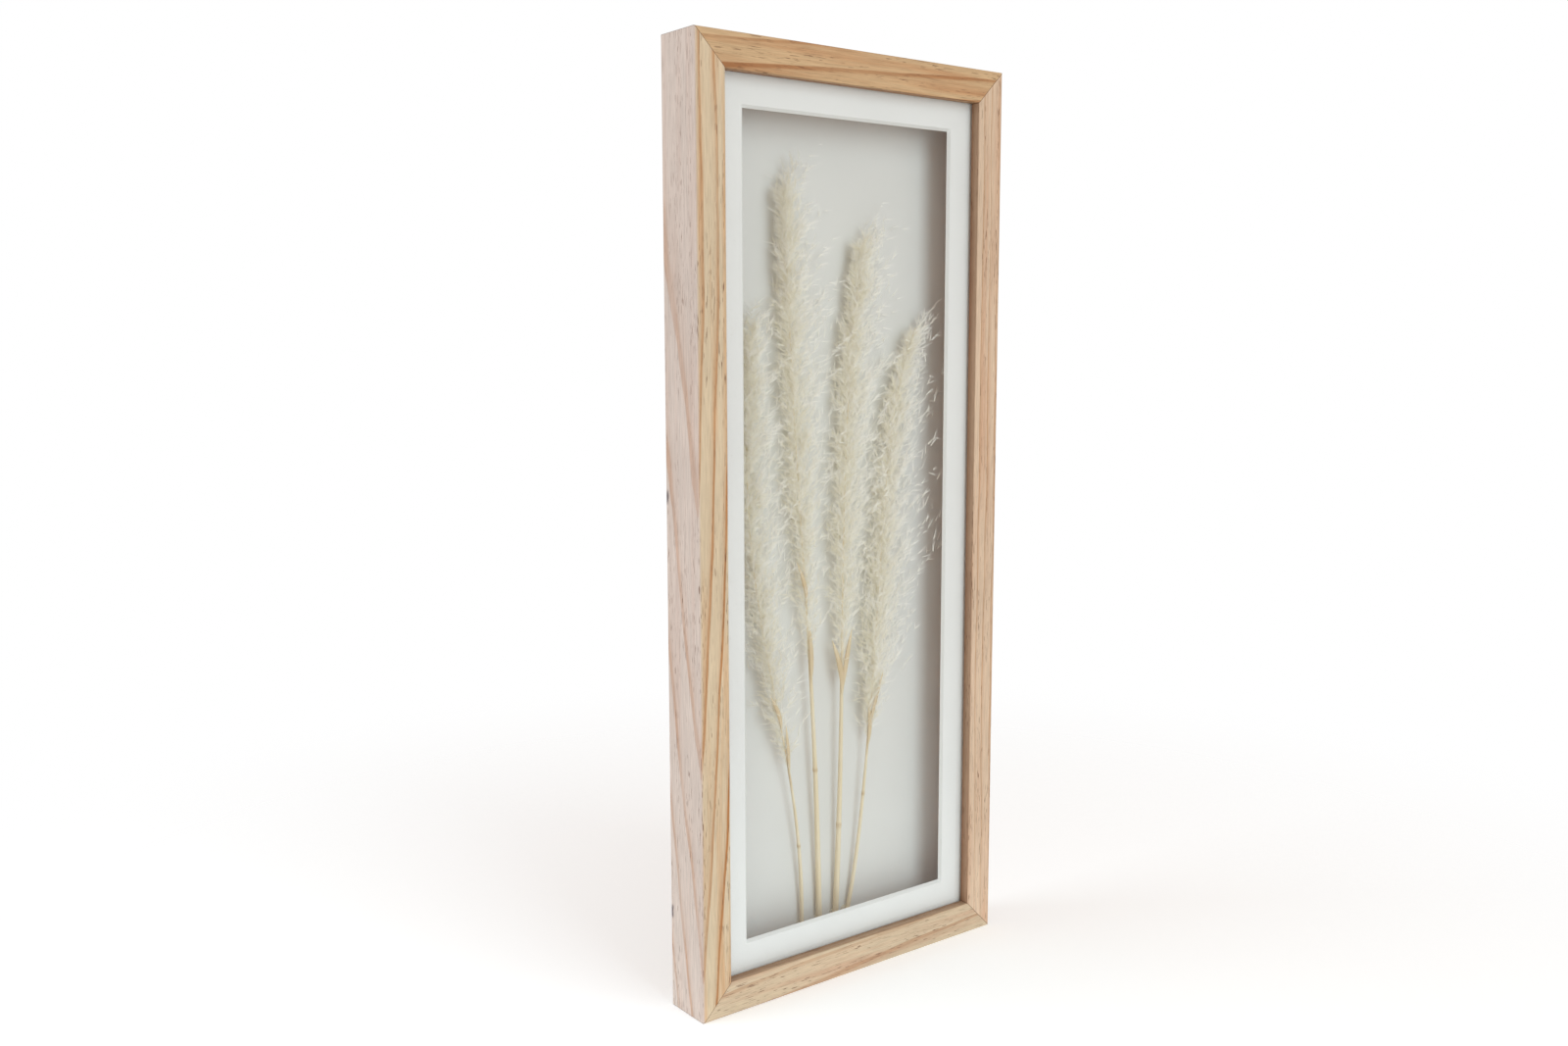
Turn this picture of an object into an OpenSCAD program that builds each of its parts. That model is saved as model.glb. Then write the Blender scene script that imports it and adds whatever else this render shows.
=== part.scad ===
// Deep box frame with a glazed front, a window mat and dried plumes mounted inside.
// The front faces -Y, the wall side faces +Y, and +Z is up. The origin is at the middle
// of the footprint, at the height of the bottom edge. Millimetres.

/* [Moulding] */
// Width of the frame from side to side
frame_w = 250; // [250:5:300]
// Height of the frame
frame_h = 600; // [600:5:680]
// Depth of the wooden rails, front to back
rail_d = 36; // [36:0.5:44]
// Width of the rails as seen from the front
face_w = 21.5; // [20:0.5:24]
// Depth of the wood in front of the rebate
lip_d = 7; // [5:0.5:9]
// Width of the rebate that takes the glass and boards
rebate_w = 6; // [5:0.5:7]
// Radius of the eased arrises
arris_r = 1.2; // [0.4:0.2:2]

/* [Glazing and boards] */
// Thickness of the glass
glass_t = 2; // [2:0.5:3]
// Thickness of the window mat
mat_t = 1.8; // [1.2:0.2:2.4]
// Width of mat that shows inside the frame
mat_border = 19.4; // [16:0.2:22]
// Thickness of the board that the stems are fixed to
board_t = 1.8; // [1.2:0.2:2.4]
// Thickness of the rigid back panel
back_t = 3; // [2.5:0.5:4]
// Play all round between the panels and the rebate
panel_play = 0.75; // [0.5:0.25:1]
// Play between the spacers and the rebate
spacer_play = 0.25; // [0.1:0.05:0.5]

/* [Plumes] */
// Depth of the stems' lower ends behind the front face of the frame
stem_depth = 28.2; // [27:0.1:28.2]
// Depth of the plumes' middle line behind the front face of the frame
plume_depth = 23.5; // [22:0.5:24]
// Half of the plumes' front-to-back thickness at their fullest
plume_half_t = 5.5; // [4:0.5:5.5]
// Radius of the glue dots
glue_r = 3; // [2:0.5:4]

/* [Back hardware] */
// Length of a turn button from its screw to its tip
button_reach = 16; // [14:1:18]
// Width of a turn button
button_w = 10; // [8:1:10]
// Thickness of a turn button
button_t = 1.2; // [1:0.1:1.4]
// Height of the upper and lower turn buttons from the ends of the stiles
button_from_end = 160; // [120:10:200]
// Distance of the turn buttons on the short rails from the middle
button_from_middle = 60; // [50:5:70]
// Radius of the screws that the buttons turn on
screw_r = 1.5; // [1.2:0.1:1.8]
// Clear radius between a screw and its button's hole
pivot_clear = 0.08; // [0.04:0.01:0.1]
// Length of the saw-toothed hanger
hanger_w = 45; // [40:1:60]
// Thickness of the wall bumpers
bumper_t = 3.5; // [3.2:0.1:4]

/* [Hidden] */
$fn = 48;

// The places of the layers, measured back from the front face.
front_y = -(rail_d + bumper_t) / 2;
rear_y = front_y + rail_d;
body_w = face_w - rebate_w;
glass_depth = lip_d;
mat_depth = glass_depth + glass_t;
spacer_depth = mat_depth + mat_t;
back_depth = rail_d - back_t;
board_depth = back_depth - board_t;
panel_inset = body_w + panel_play;
spacer_inset = body_w + spacer_play;
spacer_w = face_w - spacer_inset;
spacer_d = board_depth - spacer_depth;
window_inset = face_w + mat_border;

// Wedge-shaped steel nails across the mitres, two to a corner.
nail_apexes = [4.5, 9.5];
nail_leg = 4.5;
nail_t = 0.6;
nail_l = 10;

// The stalks, counted from the left. Each is a smooth curve through the window: its
// four control points across and up, the part of it that is bare stem, the half width
// of its plume at the fullest, and the radius of its stem.
stalks = [
    [[[-25, 26], [-31, 188], [-83, 207], [-71, 437]], 0.28, 13, 1.3],
    [[[-10, 26], [-18, 196], [-39, 371], [-43, 528]], 0.35, 14, 1.8],
    [[[4, 26], [7, 164], [-1, 374], [24, 494]], 0.36, 16, 1.8],
    [[[14, 26], [40, 150], [30, 410], [84, 452]], 0.27, 15, 1.3],
];
tip_r = 0.6;
plume_rings = 14;
plume_sides = 12;
stem_rings = 12;
stem_sides = 8;
// Where along its plume each stalk's upper glue dot sits, and how far the dot goes in.
upper_dot_at = 0.3;
upper_dot_bite = 0.5;
glue_margin = 4;

// Small hardware.
button_gap = 0.05;
button_y = rear_y + button_gap;
pivot_inset = body_w / 2;
screw_head_r = 3;
screw_head_h = 1.5;
screw_grip = 10;
recess_l = 3.4;
recess_w = 0.7;
recess_d = 0.7;
hanger_h = 10;
hanger_t = 0.9;
hanger_rise = 2;
hanger_foot = 7;
hanger_teeth = 9;
tooth_h = 1.8;
hanger_nail_r = 0.8;
hanger_nail_head_r = 1.9;
hanger_nail_head_h = 0.7;
hanger_nail_l = 11;
bumper_r = 5;
bumper_edge = 0.6;
cut = 1;

// Each turn button: its screw's place across and up, and the way its tip points when it
// holds the back in: 0 points to +X and 90 to +Z.
buttons = [
    [-frame_w / 2 + pivot_inset, button_from_end, 0],
    [-frame_w / 2 + pivot_inset, frame_h - button_from_end, 0],
    [frame_w / 2 - pivot_inset, button_from_end, 180],
    [frame_w / 2 - pivot_inset, frame_h - button_from_end, 180],
    [-button_from_middle, pivot_inset, 90],
    [button_from_middle, pivot_inset, 90],
    [-button_from_middle, frame_h - pivot_inset, 270],
    [button_from_middle, frame_h - pivot_inset, 270],
];

pine = [0.85, 0.72, 0.55];
straw = [0.80, 0.71, 0.52];
cream = [0.85, 0.80, 0.71];
steel = [0.72, 0.72, 0.74];

// ---- Shared shapes ----

function arc(cx, cy, r, a0, a1, steps = 6) =
    [for (i = [0 : steps]) let (a = a0 + (a1 - a0) * i / steps) [cx + r * cos(a), cy + r * sin(a)]];

// The moulding's section: depth from the front face, then distance from the outer edge.
function moulding() = concat(
    arc(arris_r, arris_r, arris_r, 270, 180),
    arc(arris_r, face_w - arris_r, arris_r, 180, 90),
    [[lip_d, face_w], [lip_d, body_w], [rail_d, body_w]],
    arc(rail_d - arris_r, arris_r, arris_r, 0, -90)
);

// A plate standing in the XZ plane: its outline, its front face and its thickness.
module upright(y, thickness) {
    translate([0, y + thickness, 0]) rotate([90, 0, 0]) linear_extrude(thickness) children();
}

// Puts its children, drawn at the bottom left corner, at all four corners.
module at_corners() {
    for (side = [0, 1], end = [0, 1])
        translate([(side * 2 - 1) * frame_w / 2, 0, end * frame_h])
            mirror([side, 0, 0]) mirror([0, 0, end]) children();
}

// One stick of moulding of a given outer length along +X, outer edge down, both ends mitred.
module mitred_stick(length) {
    intersection() {
        rotate([90, 0, 90]) linear_extrude(length) polygon(moulding());
        upright(-cut, rail_d + 2 * cut)
            polygon([[0, 0], [face_w, face_w], [length - face_w, face_w], [length, 0]]);
    }
}

// A rail lying in its place, less the slots and pilot holes of its fasteners.
module drilled() {
    difference() {
        children();
        corner_v_nails();
        for (b = buttons) screw_shank(b);
        hanger_nail_shanks();
    }
}

// A stick of moulding turned upright, outer edge towards -X.
module stile() {
    translate([-frame_w / 2, front_y, 0]) mirror([1, 0, -1]) mitred_stick(frame_h);
}

// A stick of moulding lying along the bottom, outer edge down.
module rail() {
    translate([-frame_w / 2, front_y, 0]) mitred_stick(frame_w);
}

// A flat panel in the rebate.
module panel(depth, thickness) {
    translate([-frame_w / 2 + panel_inset, front_y + depth, panel_inset])
        cube([frame_w - 2 * panel_inset, thickness, frame_h - 2 * panel_inset]);
}

// ---- The stalks' curves ----

function bezier(p, t) =
    pow(1 - t, 3) * p[0] + 3 * pow(1 - t, 2) * t * p[1] + 3 * (1 - t) * t * t * p[2] + t * t * t * p[3];

// The stem runs flat on the board at its foot and leans forward into the plume.
function lean(t) =
    let (s = min(t / upper_dot_at, 1)) stem_depth + (plume_depth - stem_depth) * s * s * (3 - 2 * s);

function stalk_point(stalk, t) =
    let (p = bezier(stalk[0], t)) [p[0], front_y + lean(t), p[1]];

// How full the plume is along its length: nothing at its base and tip, fullest below the middle.
function fullness(u) = pow(max(sin(180 * pow(u, 0.7)), 0), 0.7);

function plume_half_w(stalk, u) =
    stalk[3] * (1 - u) + tip_r * u + (stalk[2] - stalk[3]) * fullness(u);

function plume_half_d(stalk, u) =
    stalk[3] * (1 - u) + tip_r * u + (plume_half_t - stalk[3]) * fullness(u);

// A level ring of points round the curve, flat sides to the front and back.
function ring(centre, half_w, half_d, sides) =
    [for (i = [0 : sides - 1]) let (a = 360 * (i + 0.5) / sides)
        centre + [half_w * cos(a), half_d * sin(a), 0]];

// A closed skin over a list of rings that have the same number of points.
module skin(rings) {
    n = len(rings[0]);
    count = len(rings);
    polyhedron(
        points = [for (r = rings) each r],
        faces = concat(
            [[for (i = [0 : n - 1]) i]],
            [for (k = [0 : count - 2], i = [0 : n - 1])
                let (a = k * n + i, b = k * n + (i + 1) % n) [a, a + n, b + n, b]],
            [[for (i = [n - 1 : -1 : 0]) (count - 1) * n + i]]
        )
    );
}

// ---- Wooden frame ----

module left_stile() {
    color(pine) drilled() stile();
}

module right_stile() {
    color(pine) drilled() mirror([1, 0, 0]) stile();
}

module top_rail() {
    color(pine) drilled() translate([0, 0, frame_h]) mirror([0, 0, 1]) rail();
}

module bottom_rail() {
    color(pine) drilled() rail();
}

// Each nail is a V: its apex is on the mitre and it has one leg in each rail.
module corner_v_nails() {
    color(steel) at_corners()
        for (apex = nail_apexes)
            translate([apex - nail_t / 2, rear_y - nail_l, apex - nail_t / 2]) {
                cube([nail_leg, nail_l, nail_t]);
                cube([nail_t, nail_l, nail_leg]);
            }
}

// ---- Glass, mat, spacers and boards ----

module front_glass() {
    color([0.85, 0.93, 0.92, 0.3]) panel(glass_depth, glass_t);
}

// The window's edge is cut at 45 degrees, wider at the front.
module window_mat() {
    bevel = [
        [window_inset - mat_t - cut, -cut],
        [window_inset + cut, mat_t + cut],
    ];
    color([0.93, 0.93, 0.91]) difference() {
        panel(mat_depth, mat_t);
        translate([0, front_y + mat_depth, 0]) intersection() {
            linear_extrude(frame_h) polygon([
                [-frame_w / 2 + bevel[0][0], bevel[0][1]], [frame_w / 2 - bevel[0][0], bevel[0][1]],
                [frame_w / 2 - bevel[1][0], bevel[1][1]], [-frame_w / 2 + bevel[1][0], bevel[1][1]],
            ]);
            translate([-frame_w / 2, 0, 0]) rotate([90, 0, 90]) linear_extrude(frame_w) polygon([
                [bevel[0][1], bevel[0][0]], [bevel[0][1], frame_h - bevel[0][0]],
                [bevel[1][1], frame_h - bevel[1][0]], [bevel[1][1], bevel[1][0]],
            ]);
        }
    }
}

module spacer_left() {
    color(pine) translate([-frame_w / 2 + spacer_inset, front_y + spacer_depth, spacer_inset])
        cube([spacer_w, spacer_d, frame_h - 2 * spacer_inset]);
}

module spacer_right() {
    mirror([1, 0, 0]) spacer_left();
}

module spacer_bottom() {
    color(pine) translate([-frame_w / 2 + face_w, front_y + spacer_depth, spacer_inset])
        cube([frame_w - 2 * face_w, spacer_d, spacer_w]);
}

module spacer_top() {
    translate([0, 0, frame_h]) mirror([0, 0, 1]) spacer_bottom();
}

module mount_board() {
    color([0.90, 0.89, 0.86]) panel(board_depth, board_t);
}

module back_panel() {
    color([0.62, 0.50, 0.37]) panel(back_depth, back_t);
}

// ---- Stems and plumes ----

module stem(stalk) {
    color(straw) skin([for (k = [0 : stem_rings])
        ring(stalk_point(stalk, stalk[1] * k / stem_rings), stalk[3], stalk[3], stem_sides)]);
}

module plume(stalk) {
    color(cream) skin([for (k = [0 : plume_rings]) let (u = k / plume_rings)
        ring(stalk_point(stalk, stalk[1] + (1 - stalk[1]) * u),
            plume_half_w(stalk, u), plume_half_d(stalk, u), plume_sides)]);
}

// One dot holds each stem's foot to the board, and one holds the back of each plume.
module glue_dots() {
    color([0.90, 0.88, 0.80]) for (s = stalks) {
        foot = stalk_point(s, 0) + [0, s[3] * cos(180 / stem_sides), glue_margin];
        upper = stalk_point(s, s[1] + (1 - s[1]) * upper_dot_at)
            + [0, plume_half_d(s, upper_dot_at) * cos(180 / plume_sides) - upper_dot_bite, 0];
        for (p = [foot, upper])
            translate(p) rotate([-90, 0, 0]) cylinder(r = glue_r, h = front_y + board_depth - p[1]);
    }
}

// ---- Back hardware ----

module screw_shank(b) {
    translate([b[0], rear_y - screw_grip, b[1]]) rotate([-90, 0, 0])
        cylinder(r = screw_r, h = screw_grip + button_t + 3 * button_gap);
}

// Puts its children, drawn at the origin pointing to +X with the wall side up, at a button's screw.
module at_button(b) {
    translate([b[0], button_y, b[1]]) rotate([0, -b[2], 0]) rotate([-90, 0, 0]) children();
}

module turn_button(b) {
    end_r = button_w / 2;
    color(steel) at_button(b) difference() {
        union() {
            cylinder(r = end_r, h = button_t);
            translate([0, -end_r, 0]) cube([button_reach - end_r, button_w, button_t]);
            translate([button_reach - end_r, 0, 0]) cylinder(r = end_r, h = button_t);
        }
        translate([0, 0, -cut]) cylinder(r = screw_r + pivot_clear, h = button_t + 2 * cut);
    }
}

module button_screws() {
    head_y = button_gap + button_t;
    color(steel) for (b = buttons) {
        screw_shank(b);
        at_button(b) translate([0, 0, head_y]) difference() {
            cylinder(r1 = screw_head_r, r2 = screw_head_r * 0.8, h = screw_head_h);
            for (turn = [45, 135]) rotate([0, 0, turn])
                translate([-recess_l / 2, -recess_w / 2, screw_head_h - recess_d])
                    cube([recess_l, recess_w, recess_d + cut]);
        }
    }
}

// Puts its children at the hanger's two nails, wall side up.
module at_hanger_nails() {
    for (side = [-1, 1])
        translate([side * (hanger_w - hanger_foot) / 2, rear_y, frame_h - pivot_inset])
            rotate([-90, 0, 0]) children();
}

module hanger_nail_shanks() {
    at_hanger_nails() translate([0, 0, -hanger_nail_l])
        cylinder(r = hanger_nail_r, h = hanger_nail_l + hanger_t);
}

module hanger_nails() {
    color(steel) {
        hanger_nail_shanks();
        at_hanger_nails() translate([0, 0, hanger_t])
            cylinder(r = hanger_nail_head_r, h = hanger_nail_head_h);
    }
}

// A bridge of thin steel on two feet, its lower edge cut into teeth.
module sawtooth_hanger() {
    half = hanger_w / 2;
    knee = half - hanger_foot;
    top = knee - hanger_rise;
    pitch = 2 * top / (hanger_teeth + 1);
    color(steel) translate([0, rear_y, frame_h - pivot_inset]) difference() {
        translate([0, 0, -hanger_h / 2]) linear_extrude(hanger_h) polygon([
            [-half, 0], [-knee, 0], [-top, hanger_rise], [top, hanger_rise], [knee, 0], [half, 0],
            [half, hanger_t], [knee, hanger_t], [top, hanger_rise + hanger_t],
            [-top, hanger_rise + hanger_t], [-knee, hanger_t], [-half, hanger_t],
        ]);
        for (i = [1 : hanger_teeth])
            translate([pitch * i - top, hanger_rise + hanger_t + cut, -hanger_h / 2])
                rotate([90, 0, 0]) linear_extrude(hanger_t + 2 * cut)
                    polygon([
                        [-pitch / 2, -cut], [pitch / 2, -cut], [pitch / 2, 0],
                        [0, tooth_h], [-pitch / 2, 0],
                    ]);
        translate([0, -rear_y, pivot_inset - frame_h]) hanger_nail_shanks();
    }
}

// Soft round feet that keep the frame's lower end off the wall.
module wall_bumpers() {
    color([0.85, 0.85, 0.85]) for (side = [-1, 1])
        translate([side * (frame_w / 2 - pivot_inset), rear_y, pivot_inset]) rotate([-90, 0, 0])
            rotate_extrude() polygon([
                [0, 0], [bumper_r, 0], [bumper_r, bumper_t - bumper_edge],
                [bumper_r - bumper_edge, bumper_t], [0, bumper_t],
            ]);
}

left_stile();
right_stile();
top_rail();
bottom_rail();
corner_v_nails();
front_glass();
window_mat();
spacer_left();
spacer_right();
spacer_top();
spacer_bottom();
mount_board();
back_panel();
stem(stalks[0]);  // stem_1
stem(stalks[1]);  // stem_2
stem(stalks[2]);  // stem_3
stem(stalks[3]);  // stem_4
plume(stalks[0]);  // plume_1
plume(stalks[1]);  // plume_2
plume(stalks[2]);  // plume_3
plume(stalks[3]);  // plume_4
glue_dots();
turn_button(buttons[0]);  // turn_button_left_lower
turn_button(buttons[1]);  // turn_button_left_upper
turn_button(buttons[2]);  // turn_button_right_lower
turn_button(buttons[3]);  // turn_button_right_upper
turn_button(buttons[4]);  // turn_button_bottom_left
turn_button(buttons[5]);  // turn_button_bottom_right
turn_button(buttons[6]);  // turn_button_top_left
turn_button(buttons[7]);  // turn_button_top_right
button_screws();
sawtooth_hanger();
hanger_nails();
wall_bumpers();
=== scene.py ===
"""A deep pine box frame with dried plumes behind glass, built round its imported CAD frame.

Metres, +Z up. The glazed front faces -Y and the wall side +Y.
"""

import math

import bpy
import numpy as np
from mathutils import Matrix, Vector


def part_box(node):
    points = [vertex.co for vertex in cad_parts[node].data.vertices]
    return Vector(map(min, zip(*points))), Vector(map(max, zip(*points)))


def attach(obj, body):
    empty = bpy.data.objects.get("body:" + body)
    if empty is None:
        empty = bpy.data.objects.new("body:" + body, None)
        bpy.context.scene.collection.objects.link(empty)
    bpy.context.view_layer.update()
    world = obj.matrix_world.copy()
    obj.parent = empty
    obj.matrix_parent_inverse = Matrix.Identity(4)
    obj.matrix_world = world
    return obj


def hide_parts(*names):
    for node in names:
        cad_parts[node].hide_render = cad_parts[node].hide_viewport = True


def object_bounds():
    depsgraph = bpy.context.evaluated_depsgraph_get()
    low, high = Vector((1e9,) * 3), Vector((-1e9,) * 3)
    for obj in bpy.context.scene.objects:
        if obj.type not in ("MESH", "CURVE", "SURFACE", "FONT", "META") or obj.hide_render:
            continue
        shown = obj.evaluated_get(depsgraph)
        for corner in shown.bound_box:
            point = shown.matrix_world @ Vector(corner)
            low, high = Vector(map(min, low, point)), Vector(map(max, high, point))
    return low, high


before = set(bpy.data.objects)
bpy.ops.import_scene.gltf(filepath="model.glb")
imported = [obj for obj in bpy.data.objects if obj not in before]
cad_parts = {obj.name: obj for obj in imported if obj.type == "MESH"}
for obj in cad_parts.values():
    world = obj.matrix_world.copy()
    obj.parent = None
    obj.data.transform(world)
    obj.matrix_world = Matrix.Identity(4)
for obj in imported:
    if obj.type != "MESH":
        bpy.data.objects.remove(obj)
cad_box = [list(corner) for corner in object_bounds()]
MM = 0.001
BODY = "frame"
STILE_LOW, STILE_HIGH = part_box("left_stile")

# ---- Node graphs ----


class Graph:
    """A material's node tree, with short calls to add nodes and join them."""

    def __init__(self, name):
        self.material = bpy.data.materials.new(name)
        self.material.use_nodes = True
        self.tree = self.material.node_tree
        self.tree.nodes.clear()

    def put(self, node, key, value):
        """Joins a socket to one of the node's inputs, or sets the input to a plain value."""
        socket = node.inputs[key]
        if isinstance(value, bpy.types.NodeSocket):
            self.tree.links.new(value, socket)
        elif socket.type == "RGBA" and len(value) == 3:
            socket.default_value = (*value, 1.0)
        else:
            socket.default_value = value

    def add(self, kind, inputs=None, **settings):
        node = self.tree.nodes.new("ShaderNode" + kind)
        for key, value in settings.items():
            setattr(node, key, value)
        for key, value in (inputs or {}).items():
            self.put(node, key, value)
        return node

    def math(self, operation, first, second=0.0):
        return self.add("Math", {0: first, 1: second}, operation=operation).outputs[0]

    def plus(self, first, second):
        return self.math("ADD", first, second)

    def minus(self, first, second):
        return self.math("SUBTRACT", first, second)

    def times(self, first, second):
        return self.math("MULTIPLY", first, second)

    def over(self, first, second):
        return self.math("DIVIDE", first, second)

    def absolute(self, value):
        return self.math("ABSOLUTE", value)

    def length(self, vector):
        return self.add("VectorMath", {0: vector}, operation="LENGTH").outputs["Value"]

    def noise(self, vector, scale, detail=2.0, roughness=0.5):
        inputs = {"Vector": vector, "Scale": scale, "Detail": detail, "Roughness": roughness}
        return self.add("TexNoise", inputs).outputs["Fac"]

    def steps(self, factor, *stops):
        """A ramp from (position, grey level) pairs."""
        node = self.add("ValToRGB", {"Fac": factor})
        elements = node.color_ramp.elements
        while len(elements) < len(stops):
            elements.new(0.5)
        for element, (position, level) in zip(elements, stops):
            element.position = position
            element.color = (level, level, level, 1.0)
        return node.outputs["Color"]

    def span(self, value, start, end, low=0.0, high=1.0, kind="LINEAR"):
        """Goes from low where the value is at start to high where it is at end, and stays there."""
        inputs = {0: value, 1: start, 2: end, 3: low, 4: high}
        return self.add("MapRange", inputs, interpolation_type=kind).outputs[0]

    def mix(self, factor, first, second, blend="MIX"):
        inputs = {0: factor, 6: first, 7: second}
        node = self.add("Mix", inputs, data_type="RGBA", blend_type=blend, clamp_factor=True)
        return node.outputs[2]

    def place(self, scale=(1, 1, 1)):
        """Object coordinates, scaled."""
        coordinates = self.add("TexCoord").outputs["Object"]
        return self.add("Mapping", {"Vector": coordinates, "Scale": scale}).outputs[0]

    def attribute(self, name):
        return self.add("Attribute", attribute_name=name).outputs["Fac"]

    def bump(self, height, distance, strength):
        inputs = {"Height": height, "Distance": distance, "Strength": strength}
        return self.add("Bump", inputs).outputs["Normal"]

    def finish(self, shader):
        output = self.add("OutputMaterial")
        self.tree.links.new(shader, output.inputs["Surface"])
        return self.material

    def surface(self, **inputs):
        """A Principled surface; the keys are its sockets' names with _ for a space."""
        named = {key.replace("_", " "): value for key, value in inputs.items()}
        return self.finish(self.add("BsdfPrincipled", named).outputs[0])


# ---- Colours, linear ----


def colour(red, green, blue):
    """Linear colour from 8-bit sRGB."""
    levels = (red / 255, green / 255, blue / 255)
    return tuple(v / 12.92 if v <= 0.04045 else ((v + 0.055) / 1.055) ** 2.4 for v in levels)


def darker(base, share):
    return tuple(v * share for v in base)


DASH = colour(112, 74, 50)  # short dashes in the wood
MITRE = colour(96, 62, 40)  # the lines of the corner joints
LIP_SHADE = colour(176, 150, 132)  # multiplies the wood with painted shade on the lips' inner faces, darkest next to the glass
MARK = colour(88, 78, 82)  # dents on the outer side
FLECK = colour(168, 158, 142)  # fibres in the paper boards


# ---- Wood ----

# How dark the wood is across one growth ring, from its early wood to its late wood.
RING_STOPS = [(0.0, 0.25), (0.04, 0.0), (0.60, 0.08), (0.82, 0.35), (0.89, 1.0), (0.96, 1.0)]


class WoodGraph(Graph):
    """The node tree of a stick of wood, upright or level, with its patterns laid along the grain."""

    def __init__(self, name, upright, seed):
        super().__init__(name)
        self.upright, self.seed = upright, seed
        self.coordinates = self.add("TexCoord").outputs["Object"]
        self.x, self.depth, self.z = self.add("SeparateXYZ", {0: self.coordinates}).outputs
        self.along, self.across = (self.z, self.x) if upright else (self.x, self.z)
        self.grain = self.add("CombineXYZ", {0: self.along, 1: self.across, 2: self.depth}).outputs[0]

    def stretched(self, length, width, detail=2.0, roughness=0.5, shift=0.0):
        """Noise whose blotches are about length long and width wide."""
        scale = (1 / length, 1 / width, 1 / width)
        moved = (self.seed + shift, self.seed * 2.3 + shift, self.seed * 0.7 - shift)
        mapped = self.add("Mapping", {"Vector": self.grain, "Scale": scale, "Location": moved})
        return self.noise(mapped.outputs[0], 1.0, detail, roughness)

    def wander(self, length, width, reach, shift):
        """A distance that drifts between plus and minus half of reach."""
        return self.times(self.minus(self.stretched(length, width, shift=shift), 0.5), reach)

    def late_wood(self, pith, tilt, ring):
        """1 on the strongest dark lines that end the growth rings, and near 0 in the early wood."""
        drift = self.plus(self.wander(0.17, 0.030, 0.008, 0.0), self.wander(0.030, 0.010, 0.0012, 5.0))
        sideways = self.plus(self.minus(self.across, pith[0]), self.times(self.along, tilt[0]))
        sideways = self.plus(sideways, drift)
        behind = self.plus(self.minus(self.depth, pith[1]), self.times(self.along, tilt[1]))
        squares = self.plus(self.times(sideways, sideways), self.times(behind, behind))
        phase = self.math("FRACT", self.over(self.math("SQRT", squares), ring))
        strength = self.steps(self.stretched(0.22, 0.014, shift=9.0), (0.30, 0.35), (0.66, 1.0))
        return self.times(self.steps(phase, *RING_STOPS), strength)

    def dashes(self, late_wood):
        """Short thin dashes, in patches and along the late wood."""
        patches = self.steps(self.stretched(0.10, 0.006, shift=11.0), (0.44, 0.0), (0.58, 1.0))
        where = self.math("MAXIMUM", patches, self.times(late_wood, 0.9))
        dash = self.steps(self.stretched(0.0090, 0.00055, 1.0, shift=13.0), (0.64, 0.0), (0.68, 1.0))
        return self.times(self.times(dash, where), 0.85)

    def dent(self, point):
        """A small upright spot with a ragged edge round a point."""
        offset = self.add("VectorMath", {0: self.coordinates, 1: point}, operation="SUBTRACT").outputs[0]
        spot = self.add("VectorMath", {0: offset, 1: (1.0, 1.0, 0.45)}, operation="MULTIPLY").outputs[0]
        distance = self.plus(self.length(spot), self.wander(0.004, 0.002, 0.003, 2.0))
        return self.steps(self.over(distance, 4 * MM), (0.25, 0.85), (0.60, 0.0))

    def outer_side(self):
        """1 on the side face that is on the outside of the frame, else 0."""
        half = cad_box[1][0]
        return self.span(self.absolute(self.across), half - 1.2 * MM, half - 0.2 * MM)

    def mitre_line(self):
        """0.9 within a hair of the corner joints, else 0."""
        low, high = (Vector(corner) for corner in cad_box)
        middle = (low.z + high.z) / 2
        from_side = self.minus(high.x, self.absolute(self.x))
        from_end = self.minus(middle, self.absolute(self.minus(self.z, middle)))
        off_line = self.absolute(self.minus(from_side, from_end))
        return self.steps(self.over(off_line, MM), (0.14, 0.9), (0.30, 0.0))

    def painted_lip_shade(self):
        """Painted shade: up to 1 on the lips' narrow inner faces, most of all next to the glass, and 0
        elsewhere.
        """
        low, high = (Vector(corner) for corner in cad_box)
        centre = 0.0 if self.upright else (low.z + high.z) / 2
        opening = (high.x if self.upright else centre) - (STILE_HIGH[0] - STILE_LOW[0])
        off_centre = self.absolute(self.minus(self.across, centre))
        inside = self.span(off_centre, opening + 0.4 * MM, opening + 0.1 * MM)
        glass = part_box("front_glass")[0][1]
        return self.times(inside, self.span(self.depth, glass - 4.5 * MM, glass, 0.55, 1.0))


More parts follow.
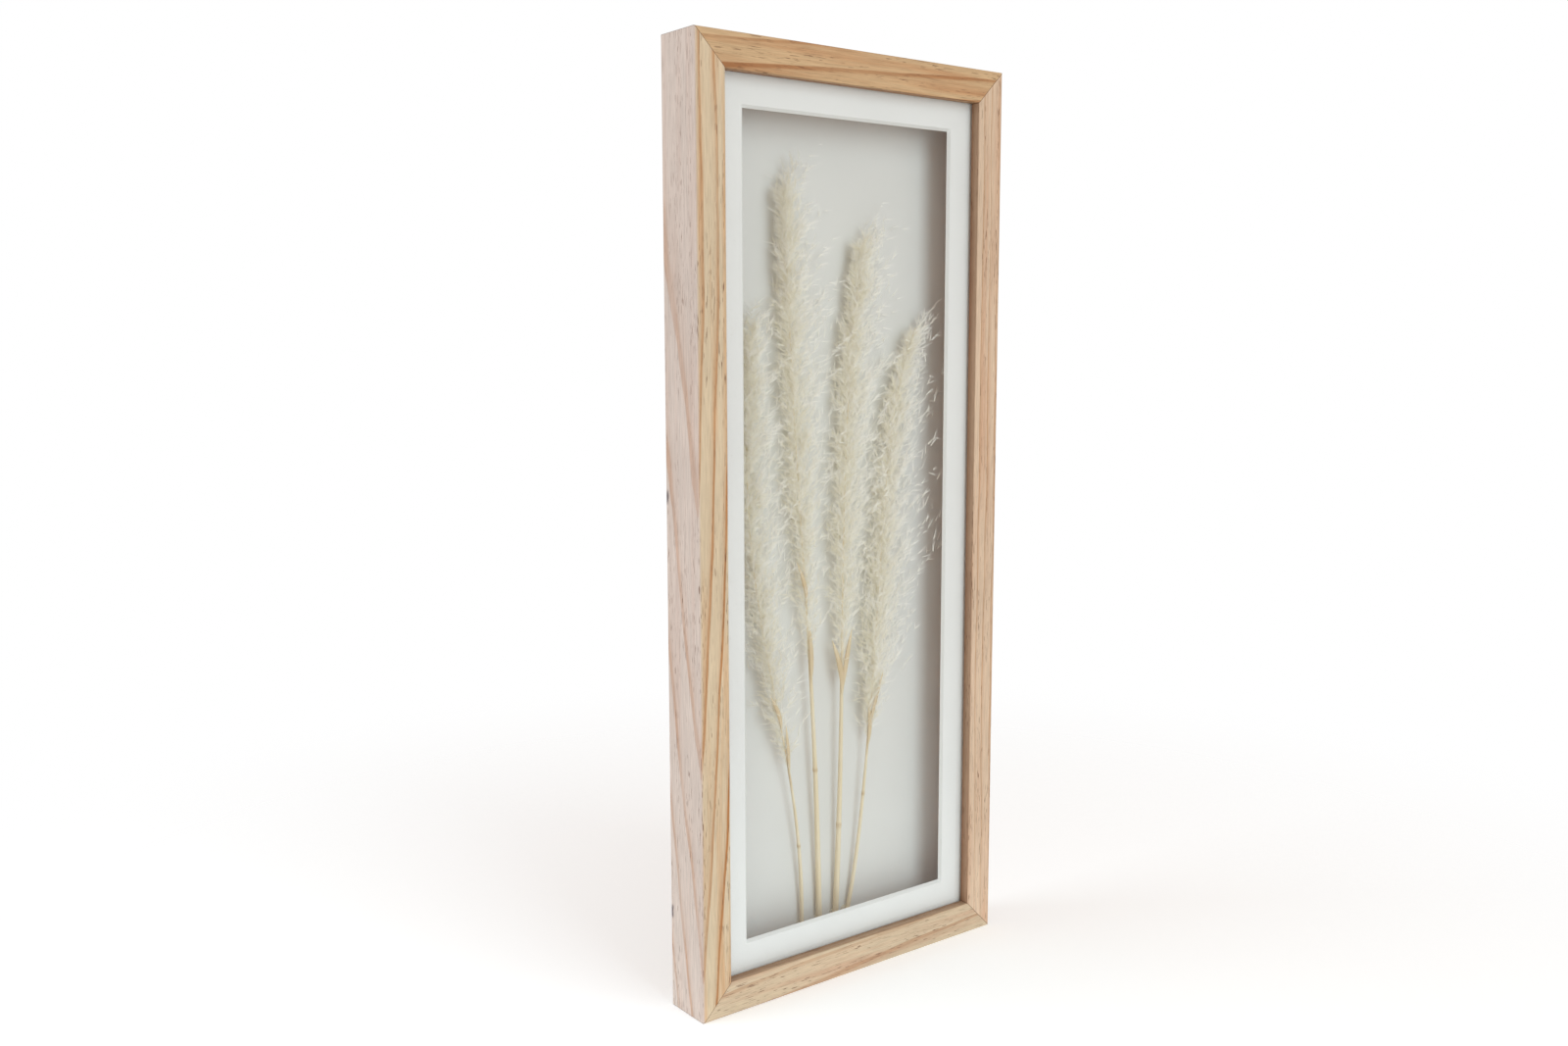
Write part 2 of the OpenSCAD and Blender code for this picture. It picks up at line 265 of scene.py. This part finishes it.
def wood(name, upright, pale, late, tint, pith, tilt, ring, seed, lit_side_colour=None, marks=()):
    """Pine with growth rings round a pith that lies outside the stick.

    upright: the stick stands. pale and late: early and late wood. tint: the colour of broad streaks.
    pith: where the pith lies across and behind the stick, in metres. tilt: how far it drifts across
    and behind for each metre of length. ring: a ring's width. seed: shifts every pattern.
    lit_side_colour: painted light, a paler and pinker colour for the outer side face where light falls on
    that side. marks: where it has small dark dents.
    """
    g = WoodGraph(name, upright, seed)
    late_wood = g.late_wood(pith, tilt, ring)
    streaks = g.steps(g.stretched(0.16, 0.007, 3.0, shift=3.0), (0.48, 0.0), (0.70, 0.80))
    body = g.mix(streaks, pale, tint)
    if lit_side_colour:
        # painted light: the outer side face is made paler and pinker, with fainter rings, for the light
        # that falls on that side
        outside = g.outer_side()
        body = g.mix(g.times(outside, 0.74), body, lit_side_colour)
        late_wood = g.times(late_wood, g.minus(1.0, g.times(outside, 0.50)))
    body = g.mix(late_wood, body, late)
    fibre = g.stretched(0.016, 0.00045, 4.0, 0.65, shift=1.0)
    body = g.mix(0.75, body, g.steps(fibre, (0.28, 0.60), (0.66, 1.0)), "MULTIPLY")
    cloud = g.steps(g.stretched(0.07, 0.05, 3.0, shift=7.0), (0.30, 0.90), (0.70, 1.0))
    body = g.mix(1.0, body, cloud, "MULTIPLY")
    dashes = g.dashes(late_wood)
    body = g.mix(dashes, body, DASH)
    for point in marks:
        body = g.mix(g.dent(point), body, MARK)
    body = g.mix(g.mitre_line(), body, MITRE)
    # painted shade on the lips' inner faces, darkest next to the glass
    body = g.mix(g.painted_lip_shade(), body, LIP_SHADE, "MULTIPLY")
    rough = g.steps(fibre, (0.3, 0.62), (0.7, 0.48))
    pores = g.minus(g.times(fibre, 0.7), g.times(dashes, 0.8))
    return g.surface(
        Base_Color=body, Roughness=rough, Specular_IOR_Level=0.32, Normal=g.bump(pores, 0.12 * MM, 0.6)
    )


# ---- Other materials ----


def clear_glass():
    """A pane thin enough that light goes straight through, with the gloss of its faces."""
    g = Graph("clear_glass_look")
    smear = g.steps(g.noise(g.place(), 9.0, 4.0), (0.35, 0.0), (0.75, 0.05))
    gloss = g.add("BsdfGlossy", {"Color": (1, 1, 1), "Roughness": smear}).outputs[0]
    clear = g.add("BsdfTransparent", {"Color": (0.985, 0.992, 0.988)}).outputs[0]
    outside = g.minus(1.0, g.add("NewGeometry").outputs["Backfacing"])
    fresnel = g.times(g.add("Fresnel", {"IOR": 1.52}).outputs[0], outside)
    return g.finish(g.add("MixShader", {0: fresnel, 1: clear, 2: gloss}).outputs[0])


def board(name, base, tooth, fleck):
    """Pressed paper board: a fine tooth, and faint clouds and flecks of fibre."""
    g = Graph(name)
    fine = g.noise(g.place(), 2600.0, 3.0, 0.7)
    cloud = g.noise(g.place(), 14.0, 3.0)
    body = g.mix(1.0, base, g.steps(cloud, (0.3, 0.965), (0.7, 1.0)), "MULTIPLY")
    specks = g.steps(g.noise(g.place((1, 1, 3)), 420.0, 1.0), (0.70, 0.0), (0.76, fleck))
    body = g.mix(specks, body, FLECK)
    return g.surface(
        Base_Color=body, Roughness=0.88, Specular_IOR_Level=0.2, Normal=g.bump(fine, tooth, 0.5)
    )


def fibreboard():
    """Brown pressed fibre, with fine fibres and faint clouds."""
    g = Graph("fibreboard_look")
    fibres = g.noise(g.place((1, 1, 2.2)), 900.0, 6.0, 0.75)
    cloud = g.noise(g.place(), 30.0, 4.0, 0.6)
    body = g.mix(g.steps(fibres, (0.30, 0.0), (0.72, 1.0)), colour(150, 116, 82), colour(194, 160, 122))
    body = g.mix(1.0, body, g.steps(cloud, (0.3, 0.86), (0.7, 1.0)), "MULTIPLY")
    return g.surface(Base_Color=body, Roughness=0.72, Normal=g.bump(fibres, 0.08 * MM, 0.5))


def steel(name, base, streak_axis, roughness):
    """Plated sheet: fine rolling marks along one axis, and small dull patches."""
    g = Graph(name)
    scale = [1.0, 1.0, 1.0]
    scale[streak_axis] = 0.03
    marks = g.noise(g.place(scale), 5200.0, 3.0, 0.6)
    dull = g.noise(g.place(), 260.0, 4.0, 0.6)
    body = g.mix(g.steps(dull, (0.35, 0.0), (0.75, 0.5)), base, darker(base, 0.72))
    rough = g.plus(g.times(marks, 0.16), roughness)
    return g.surface(Base_Color=body, Metallic=1.0, Roughness=rough, Normal=g.bump(marks, 0.01 * MM, 0.5))


def cloudy(name, base, roughness):
    """Glue or soft rubber: cloudy, with a faint skin."""
    g = Graph(name)
    skin = g.noise(g.place(), 900.0, 4.0)
    body = g.mix(g.steps(skin, (0.3, 0.0), (0.7, 1.0)), darker(base, 0.86), base)
    return g.surface(
        Base_Color=body,
        Roughness=roughness,
        Subsurface_Weight=0.3,
        Subsurface_Radius=(2.0 * MM, 1.6 * MM, 1.2 * MM),
        Normal=g.bump(skin, 0.04 * MM, 0.4),
    )


def straw():
    """Dry stem: fine ribs along it, darker at its knots and sheaths."""
    g = Graph("straw_look")
    ribs = g.noise(g.place((1, 1, 0.04)), 3000.0, 3.0, 0.6)
    patches = g.noise(g.place((1, 1, 0.35)), 110.0, 3.0)
    body = g.mix(g.steps(patches, (0.3, 0.0), (0.7, 1.0)), colour(236, 220, 186), colour(244, 233, 206))
    body = g.mix(0.35, body, g.steps(ribs, (0.3, 0.75), (0.7, 1.0)), "MULTIPLY")
    body = g.mix(g.attribute("dark"), body, colour(196, 166, 122))
    return g.surface(
        Base_Color=body, Roughness=0.5, Specular_IOR_Level=0.4, Normal=g.bump(ribs, 0.06 * MM, 0.6)
    )


def feathers():
    """Silky hairs: creamy next to the stalk and, as painted shade, on the stalk's shaded left side, and
    almost white elsewhere, with a faint silky sheen.
    """
    g = Graph("plume_look")
    patches = g.noise(g.place((1, 1, 0.4)), 120.0, 2.0)
    whitening = g.steps(g.attribute("tip"), (0.0, 0.0), (0.8, 1.0))
    body = g.mix(whitening, colour(253, 252, 247), colour(255, 255, 254))
    # the creamy tone is partly the hairs' own colour next to the stalk and partly painted shade on the
    # stalk's left side
    body = g.mix(g.attribute("tone"), body, colour(246, 243, 230))
    body = g.mix(g.steps(patches, (0.45, 0.0), (0.75, 0.3)), body, colour(244, 240, 226))
    return g.surface(
        Base_Color=body, Roughness=0.6, Specular_IOR_Level=0.25, Sheen_Weight=0.25, Sheen_Roughness=0.5
    )


def pale_floor():
    """A pale, faintly glowing sheet, which fades away round the object, so that no horizon shows."""
    g = Graph("floor_look")
    place = g.place()
    cloud = g.noise(place, 3.0, 3.0)
    body = g.mix(g.steps(cloud, (0.3, 0.97), (0.7, 1.0)), colour(245, 245, 244), colour(250, 250, 249))
    look = {"Base Color": body, "Roughness": 0.7, "Specular IOR Level": 0.1}
    glow = {"Emission Color": (0.80, 0.92, 1.0), "Emission Strength": 0.3}
    sheet = g.add("BsdfPrincipled", {**look, **glow}).outputs[0]
    away = g.span(g.length(place), 0.15, 0.85, kind="SMOOTHSTEP")
    gone = g.add("BsdfTransparent").outputs[0]
    return g.finish(g.add("MixShader", {0: away, 1: sheet, 2: gone}).outputs[0])


# ---- The looks of the CAD pieces ----

# Two small dents on the left stile's outer side, next to the wall.
SIDE_MARKS = [(STILE_LOW[0], STILE_HIGH[1] - 1.5 * MM, share * STILE_HIGH[2]) for share in (0.105, 0.545)]
PINE_LEFT = wood(
    "pine_left_look", True, colour(233, 214, 182), colour(192, 128, 68), colour(224, 180, 134),
    pith=(-0.214, -0.079), tilt=(-0.02, -0.14), ring=0.0105, seed=3.1,
    lit_side_colour=colour(224, 210, 205), marks=SIDE_MARKS,
)
PINE_RIGHT = wood(
    "pine_right_look", True, colour(234, 208, 180), colour(204, 160, 122), colour(222, 180, 148),
    pith=(0.21, 0.04), tilt=(-0.01, 0.02), ring=0.0062, seed=11.7, lit_side_colour=colour(222, 202, 190),
)
PINE_TOP = wood(
    "pine_top_look", False, colour(224, 190, 146), colour(180, 122, 74), colour(204, 150, 104),
    pith=(0.566, 0.022), tilt=(0.0, 0.035), ring=0.0068, seed=21.9,
)
PINE_BOTTOM = wood(
    "pine_bottom_look", False, colour(227, 207, 176), colour(194, 148, 112), colour(214, 178, 148),
    pith=(-0.020, 0.030), tilt=(0.0, 0.030), ring=0.0080, seed=35.4,
)
SPACER = wood(
    "spacer_look", True, colour(252, 192, 118), colour(240, 172, 100), colour(246, 180, 108),
    pith=(0.5, 0.3), tilt=(0.0, 0.02), ring=0.004, seed=41.0,
)
ZINC = steel("zinc_look", (0.62, 0.63, 0.65), 2, 0.26)
LOOKS = {
    "left_stile": PINE_LEFT,
    "right_stile": PINE_RIGHT,
    "top_rail": PINE_TOP,
    "bottom_rail": PINE_BOTTOM,
    "corner_v_nails": steel("nail_look", (0.40, 0.41, 0.43), 1, 0.36),
    "front_glass": clear_glass(),
    "window_mat": board("mat_look", colour(238, 240, 240), 0.03 * MM, 0.12),
    "spacer_left": SPACER,
    "spacer_right": SPACER,
    "spacer_top": SPACER,
    "spacer_bottom": SPACER,
    "mount_board": board("backing_look", colour(227, 228, 226), 0.03 * MM, 0.15),
    "back_panel": fibreboard(),
    "glue_dots": cloudy("glue_look", colour(226, 221, 204), 0.35),
    "button_screws": ZINC,
    "sawtooth_hanger": steel("hanger_look", (0.66, 0.53, 0.30), 0, 0.28),
    "hanger_nails": steel("hanger_nail_look", (0.62, 0.50, 0.30), 1, 0.30),
    "wall_bumpers": cloudy("bumper_look", colour(226, 226, 224), 0.5),
}
# The stems and plumes have no look here, because pieces further down stand for them.
for node_name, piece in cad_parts.items():
    look = LOOKS.get(node_name, ZINC if node_name.startswith("turn_button") else None)
    if look:
        piece.data.materials.clear()
        piece.data.materials.append(look)

# ---- Stalks ----

STRAW = straw()
FEATHERS = feathers()


def rings(node):
    """The node's level rings, from the lowest: rows of centre x, y and z and half width."""
    points = np.array([v.co[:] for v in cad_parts[node].data.vertices])
    rows = []
    for level in np.unique(points[:, 2].round(5)):
        ring = points[np.abs(points[:, 2] - level) < 0.02 * MM]
        low, high = ring.min(0), ring.max(0)
        rows.append([*((low + high) / 2)[:2], level, (high[0] - low[0]) / 2])
    return np.array(rows)


class Line:
    """A smooth centre line through a stalk's rings, by height, from its foot to its plume's top."""

    def __init__(self, index):
        rows = np.concatenate([rings(f"stem_{index}"), rings(f"plume_{index}")])
        rows = rows[np.argsort(rows[:, 2])]
        self.low, self.high = rows[0, 2], rows[-1, 2]
        shares = self.share(rows[:, 2])
        self.x = np.polyfit(shares, rows[:, 0], 5)
        self.y = np.polyfit(shares, rows[:, 1], 5)

    def share(self, z):
        return (z - self.low) / (self.high - self.low)

    def at(self, z):
        z = np.asarray(z, float)
        share = self.share(z)
        return np.stack([np.polyval(self.x, share), np.polyval(self.y, share), z], -1)

    def tangent(self, z):
        step = 0.5 * MM
        return unit_rows(self.at(z + step) - self.at(z - step))


def unit_rows(rows):
    return rows / np.maximum(np.linalg.norm(rows, axis=-1, keepdims=True), 1e-12)


def make_piece(name, points, faces, material, node, smooth=True, **values):
    """A mesh that stands for a node, with one float per point for each of values."""
    mesh = bpy.data.meshes.new(name)
    mesh.from_pydata(points.tolist(), [], faces)
    for key, data in values.items():
        attribute = mesh.attributes.new(key, "FLOAT", "POINT")
        attribute.data.foreach_set("value", np.asarray(data, np.float32))
    if smooth:
        mesh.shade_smooth()
    else:
        mesh.shade_flat()
    mesh.materials.append(material)
    obj = bpy.data.objects.new(name, mesh)
    bpy.context.scene.collection.objects.link(obj)
    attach(obj, BODY)
    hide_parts(node)


def circle(sides):
    """The angles of the corners of a regular polygon."""
    return 2 * math.pi * np.arange(sides) / sides


def tube_faces(rows, sides):
    """The faces of a tube of rings, closed at both ends."""
    faces = [tuple(range(sides - 1, -1, -1))]
    for row in range(rows - 1):
        for side in range(sides):
            corner = row * sides + side
            after = row * sides + (side + 1) % sides
            faces.append((corner, after, after + sides, corner + sides))
    faces.append(tuple((rows - 1) * sides + side for side in range(sides)))
    return faces


def stem(index, knot):
    """A straw from its foot to the tip of its plume, thinner inside the plume.

    knot: where its knot is, as a share of the length below the plume.
    """
    line = Line(index)
    low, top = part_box(f"stem_{index}")[0][2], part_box(f"stem_{index}")[1][2]
    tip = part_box(f"plume_{index}")[1][2] - 22 * MM
    inside = top + 45 * MM
    thick = rings(f"stem_{index}")[:, 3].mean() * 0.96
    z = np.concatenate([np.linspace(low, top, 90), np.linspace(top, tip, 60)[1:]])
    bulge = np.exp(-((z - low - knot * (top - low)) / (1.1 * MM)) ** 2)
    widths = [thick * 1.30, thick * 0.68, thick * 0.36, 0.2 * MM]
    radius = np.interp(z, [low, top, inside, tip], widths) * (1 + 0.22 * bulge)
    dark = np.interp(z, [low, top - 12 * MM, top, top + 15 * MM, tip], [0.0, 0.0, 0.5, 0.1, 0.0])
    dark = np.clip(dark + 0.75 * bulge, 0, 1)
    sides = 16
    ribs = 1 + 0.03 * np.cos(circle(sides) * (sides // 2))
    across = np.stack([np.cos(circle(sides)) * ribs, np.sin(circle(sides)) * ribs, np.zeros(sides)], -1)
    points = (line.at(z)[:, None] + across[None] * radius[:, None, None]).reshape(-1, 3)
    faces = tube_faces(len(z), sides)
    name = f"stem_{index}_straw"
    make_piece(name, points, faces, STRAW, f"stem_{index}", dark=np.repeat(dark, sides))


def sheath(index, number, rise, lean, length, width):
    """A slim dry leaf sheath that clasps the stalk and curls away from it at its tip.

    rise: where it starts, up from the foot of the plume. lean: how far its tip stands off to the right.
    """
    line = Line(index)
    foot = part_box(f"plume_{index}")[0][2] + rise
    rows, sides = 24, 10
    share = np.linspace(0, 1, rows)
    centre = line.at(foot + share * length)
    centre[:, 0] += lean * share ** 1.8
    centre[:, 1] -= (0.6 + 1.2 * np.sin(math.pi * share)) * MM
    half = 0.5 * width * np.sin(math.pi * np.clip(share, 0.03, 0.985)) ** 0.7
    across = np.stack([np.cos(circle(sides)), 0.45 * np.sin(circle(sides)), np.zeros(sides)], -1)
    points = (centre[:, None] + across[None] * half[:, None, None]).reshape(-1, 3)
    dark = np.repeat(0.10 + 0.40 * np.sin(math.pi * share), sides)
    name = f"stem_{index}_sheath_{number}"
    make_piece(name, points, tube_faces(rows, sides), STRAW, f"stem_{index}", dark=dark)


# ---- Plumes ----

FRONT_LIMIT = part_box("window_mat")[1][1] + 1.0 * MM
BACK_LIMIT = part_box("mount_board")[0][1] - 0.3 * MM
SIDE_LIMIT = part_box("spacer_right")[0][0] - 0.8 * MM
SPINE = 3.5 * MM  # the hairs on a stalk's left, and up to this far on its right, are the creamy ones: cream next to the stalk, and painted shade on its left side
WISP_ROOM = 20 * MM  # how much of a plume's top is left to its wisps

# A needle's faces: a ring of three points, in a bent one a second ring, and the point at its end.
STRAIGHT = [(0, 2, 1), (0, 1, 3), (1, 2, 3), (2, 0, 3)]
BENT = [(0, 2, 1)]
BENT += [(k, (k + 1) % 3, 3 + (k + 1) % 3) for k in range(3)]
BENT += [(k, 3 + (k + 1) % 3, 3 + k) for k in range(3)]
BENT += [(3 + k, 3 + (k + 1) % 3, 6) for k in range(3)]

# How white a needle's points are, from its root to its end.
STRAIGHT_TIPS = [0.0] * 3 + [1.0]
BENT_TIPS = [0.0] * 3 + [0.3] * 3 + [0.6]


class Needles:
    """Gathers slim closed needles with three sides and a point at the end."""

    def __init__(self):
        self.points, self.faces, self.tip, self.tone, self.count = [], [], [], [], 0

    def ring(self, centre, run, radius):
        side = unit_rows(np.cross(run, np.array([0.31, 0.87, 0.12])))
        other = np.cross(run, side)
        ways = [side * math.cos(angle) + other * math.sin(angle) for angle in circle(3)]
        return np.stack([centre + way * radius[:, None] for way in ways], 1)

    def keep(self, points, faces, tips, tone):
        number, size = points.shape[:2]
        first = self.count + size * np.arange(number)
        self.faces.append((first[:, None, None] + np.array(faces)[None]).reshape(-1, 3))
        self.points.append(points.reshape(-1, 3))
        self.tip.append(np.tile(tips, number))
        self.tone.append(np.repeat(tone, size))
        self.count += size * number

    def add_straight(self, base, end, radius, tone):
        """base and end are rows of points; radius and tone hold one value per needle."""
        root = self.ring(base, unit_rows(end - base), radius)
        self.keep(np.concatenate([root, end[:, None]], 1), STRAIGHT, STRAIGHT_TIPS, tone)

    def add_bent(self, base, middle, end, radius, tone):
        """The same with a bend at middle."""
        run = unit_rows(end - base)
        rows = [self.ring(base, run, radius), self.ring(middle, run, radius * 0.75), end[:, None]]
        self.keep(np.concatenate(rows, 1), BENT, BENT_TIPS, tone)

    def make(self, name, node):
        points, faces = np.concatenate(self.points), np.concatenate(self.faces).tolist()
        tip, tone = np.concatenate(self.tip), np.concatenate(self.tone)
        make_piece(name, points, faces, FEATHERS, node, smooth=False, tip=tip, tone=tone)


def squeeze(points, middle):
    """Keeps points softly between the mat and the board, and between the spacers."""
    y = points[..., 1]
    room = np.where(y > middle, BACK_LIMIT - middle, middle - FRONT_LIMIT)
    points[..., 1] = middle + room * np.tanh((y - middle) / room)
    points[..., 0] = np.clip(points[..., 0], -SIDE_LIMIT, SIDE_LIMIT)
    return points


class Spray:
    """Branches that leave a stalk upwards and outwards, one row per branch.

    share: where a branch starts, from 0 at the height low to 1 at high. turn: which way it points, seen
    from above. length: its length. lift: how far it leans off the stalk. Both angles are in radians.
    """

    def __init__(self, rng, line, low, high, share, turn, length, lift):
        self.rng, self.length, self.lift = rng, length, lift
        self.count = len(share)
        self.middle = float(line.at((low + high) / 2)[1])
        self.root = line.at(low + share * (high - low))
        self.up = line.tangent(self.root[:, 2])
        self.out = np.stack([np.cos(turn), 0.42 * np.sin(turn), np.zeros(self.count)], -1)
        self.sway = unit_rows(rng.normal(size=(self.count, 3))) * 0.07

    def along(self, share):
        """The point on every branch at a share of its length, with one share per branch."""
        share = share[:, None]
        rise = self.up * np.cos(self.lift)[:, None] * (share - 0.10 * share * share)
        spread = self.out * np.sin(self.lift)[:, None] * share ** 1.15
        return self.root + self.length[:, None] * (rise + spread + self.sway * share * share)

    def branches(self, needles, radius):
        points = [squeeze(self.along(np.full(self.count, share)), self.middle) for share in (0.0, 0.5, 1.0)]
        needles.add_bent(*points, np.full(self.count, radius), self.rng.random(self.count))

    def tufts(self, needles, number, hairs, reach, stray, radius):
        """Small brushes of fine hairs along the branches, which fan out and lean away from their branch.

        number: tufts on each branch. hairs: in each tuft. reach: their least and greatest length.
        stray: how far the tufts turn from their branch. radius: about half a hair's thickness.
        """
        count, rng = self.count, self.rng
        for _ in range(number):
            share = rng.uniform(0.06, 1.0, count)
            base = self.along(share)
            run = unit_rows(self.along(share + 0.05) - base)
            off = unit_rows(rng.normal(size=(count, 3)) * np.array([1.0, 0.45, 0.5]))
            aim = unit_rows(run + off * stray + self.out * 0.20)
            length = rng.uniform(*reach, count) * (1.0 - 0.25 * share)
            # creamier hairs next to the stalk, and on the stalk's whole left side as painted shade
            cream_and_shade_mask = np.exp(-np.maximum(base[:, 0] - self.root[:, 0] - SPINE, 0.0) / SPINE)
            tone = np.clip(cream_and_shade_mask * rng.uniform(-0.7, 1.8, count), 0, 1)
            for _ in range(hairs):
                start = base + rng.normal(0.0, 0.15 * MM, (count, 3))
                way = unit_rows(aim + rng.normal(0.0, 0.10, (count, 3)))
                end = start + way * (length * rng.uniform(0.7, 1.0, count))[:, None]
                thick = rng.uniform(0.7, 1.2, count) * (1.05 - 0.10 * cream_and_shade_mask) * radius
                needles.add_straight(squeeze(start, self.middle), squeeze(end, self.middle), thick, tone)


def head(rng, line, low, high, branch, bias, top, crowd):
    """The branches of a whole plume, all round the stalk."""
    count = 620
    share = ((np.arange(count) + rng.random(count)) / count) ** crowd
    turn = rng.random(count) * 2 * math.pi
    full = np.interp(share, [0, 0.10, 0.28, 0.75, 1.0], [0.60, 1.05, 1.2, 0.80, top])
    length = branch * full * (1 + bias * np.cos(turn)) * rng.uniform(0.35, 1.08, count)
    degrees = np.interp(share, [0, 0.25, 0.7, 1.0], [18, 31, 34, 27]) + rng.normal(0, 10, count)
    return Spray(rng, line, low, high, share, turn, length, np.radians(degrees))


def slim_branches(rng, line, low, high, count):
    """A few long branches that rise steeply out of the right side of a plume."""
    share = np.linspace(0.25, 1.0, count)
    turn = rng.normal(0.0, 0.35, count)
    length = rng.uniform(42, 60, count) * MM * np.interp(share, [0.25, 1.0], [1.0, 0.72])
    lift = np.radians(rng.uniform(10, 26, count))
    return Spray(rng, line, low, high, share, turn, length, lift)


def plume(index, branch, bias, top, seed, crowd=0.70, wisps=0):
    """A feathery head of branches round the stalk, each with small brushes of silky hairs.

    branch: the longest branch. bias: how much further it reaches to the right than to the left.
    top: the length of the highest branches, as a share. crowd: below 1, the branches crowd towards
    the top. wisps: how many long slim branches rise out of its right side.
    """
    rng = np.random.default_rng(seed)
    node = f"plume_{index}"
    line = Line(index)
    low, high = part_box(node)[0][2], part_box(node)[1][2] - 0.60 * top * branch
    if wisps:
        high -= WISP_ROOM
    needles = Needles()
    spray = head(rng, line, low, high, branch, bias, top, crowd)
    spray.branches(needles, 0.09 * MM)
    spray.tufts(needles, number=7, hairs=10, reach=(6.5 * MM, 15.0 * MM), stray=0.85, radius=0.060 * MM)
    if wisps:
        slim = slim_branches(rng, line, low, high, wisps)
        slim.branches(needles, 0.18 * MM)
        slim.tufts(needles, number=26, hairs=9, reach=(4.0 * MM, 9.0 * MM), stray=0.34, radius=0.08 * MM)
    needles.make(f"plume_{index}_feathers", node)


for number, knot in enumerate((0.55, 0.62, 0.40, 0.70), 1):
    stem(number, knot)
sheath(1, 1, rise=34 * MM, lean=-4 * MM, length=24 * MM, width=3.4 * MM)
sheath(1, 2, rise=2 * MM, lean=4 * MM, length=34 * MM, width=2.6 * MM)
sheath(2, 1, rise=-8 * MM, lean=1 * MM, length=38 * MM, width=3.6 * MM)
sheath(2, 2, rise=44 * MM, lean=-6 * MM, length=30 * MM, width=3.2 * MM)
sheath(3, 1, rise=-12 * MM, lean=-9 * MM, length=40 * MM, width=4.4 * MM)
sheath(3, 2, rise=-10 * MM, lean=8 * MM, length=44 * MM, width=4.0 * MM)
sheath(4, 1, rise=-4 * MM, lean=-3 * MM, length=32 * MM, width=3.4 * MM)
sheath(4, 2, rise=8 * MM, lean=9 * MM, length=40 * MM, width=3.0 * MM)
plume(1, branch=52 * MM, bias=0.45, top=0.55, seed=101)
plume(2, branch=50 * MM, bias=0.55, top=0.60, seed=102)
plume(3, branch=55 * MM, bias=0.60, top=0.50, seed=103)
plume(4, branch=60 * MM, bias=0.50, top=0.25, seed=104, crowd=1.0, wisps=14)

# ---- Floor, light and camera ----


def floor():
    """A level sheet that the frame stands on."""
    mesh = bpy.data.meshes.new("floor")
    half = 1.1
    corners = [(-half, -half, 0), (half, -half, 0), (half, half, 0), (-half, half, 0)]
    mesh.from_pydata(corners, [], [(0, 1, 2, 3)])
    mesh.materials.append(pale_floor())
    obj = bpy.data.objects.new("floor", mesh)
    bpy.context.scene.collection.objects.link(obj)


def soft_light(name, place, aim, size, power, tint):
    """A rectangle of light, wide and high as size says, turned from its place towards aim."""
    light = bpy.data.lights.new(name, "AREA")
    light.shape = "RECTANGLE"
    light.size, light.size_y = size
    light.energy = power
    light.color = tint
    obj = bpy.data.objects.new(name, light)
    obj.location = place
    obj.rotation_euler = (Vector(aim) - Vector(place)).to_track_quat("-Z", "Y").to_euler()
    bpy.context.scene.collection.objects.link(obj)


def surround(strength, tint):
    """Dim all-round light, which shows as a white backdrop behind the object."""
    world = bpy.data.worlds.new("surround")
    world.use_nodes = True
    nodes, links = world.node_tree.nodes, world.node_tree.links
    background = nodes["Background"]
    seen = nodes.new("ShaderNodeLightPath").outputs["Is Camera Ray"]
    level = nodes.new("ShaderNodeMix")
    level.data_type = "RGBA"
    level.inputs[6].default_value = (*(strength * v for v in tint), 1.0)
    level.inputs[7].default_value = (1.0, 1.0, 1.0, 1.0)
    links.new(seen, level.inputs[0])
    links.new(level.outputs[2], background.inputs["Color"])
    bpy.context.scene.world = world


def camera(offset, lens, down, roll, turn):
    """A camera at an offset from the frame's front left foot.

    lens: in millimetres, for a film 36 mm wide. down, roll and turn: how far it looks down, rolls
    and turns to its right from looking straight at the wall, in degrees.
    """
    data = bpy.data.cameras.new("camera")
    data.sensor_width = 36.0
    data.lens = lens
    obj = bpy.data.objects.new("camera", data)
    obj.location = Vector(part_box("bottom_rail")[0]) + Vector(offset)
    obj.rotation_euler = (math.radians(90 - down), math.radians(roll), math.radians(-turn))
    bpy.context.scene.collection.objects.link(obj)
    bpy.context.scene.camera = obj


floor()
surround(0.60, tint=(1.0, 0.84, 0.74))
soft_light("key", (0.12, -1.6, 0.95), (0.10, 0, 0.4), size=(1.1, 1.9), power=14.9, tint=(0.78, 0.92, 0.99))
soft_light("side", (-1.3, 0.45, 0.6), (0, 0, 0.3), size=(0.8, 1.2), power=10.0, tint=(0.72, 0.88, 1.0))
camera(offset=(-0.4749, -0.7018, 0.4232), lens=32.97, down=7.34, roll=0.11, turn=37.51)
bpy.context.scene.view_settings.view_transform = "Standard"
bpy.context.scene.cycles.max_bounces = 20
bpy.context.scene.cycles.diffuse_bounces = 16  # pale hair passes light on many times
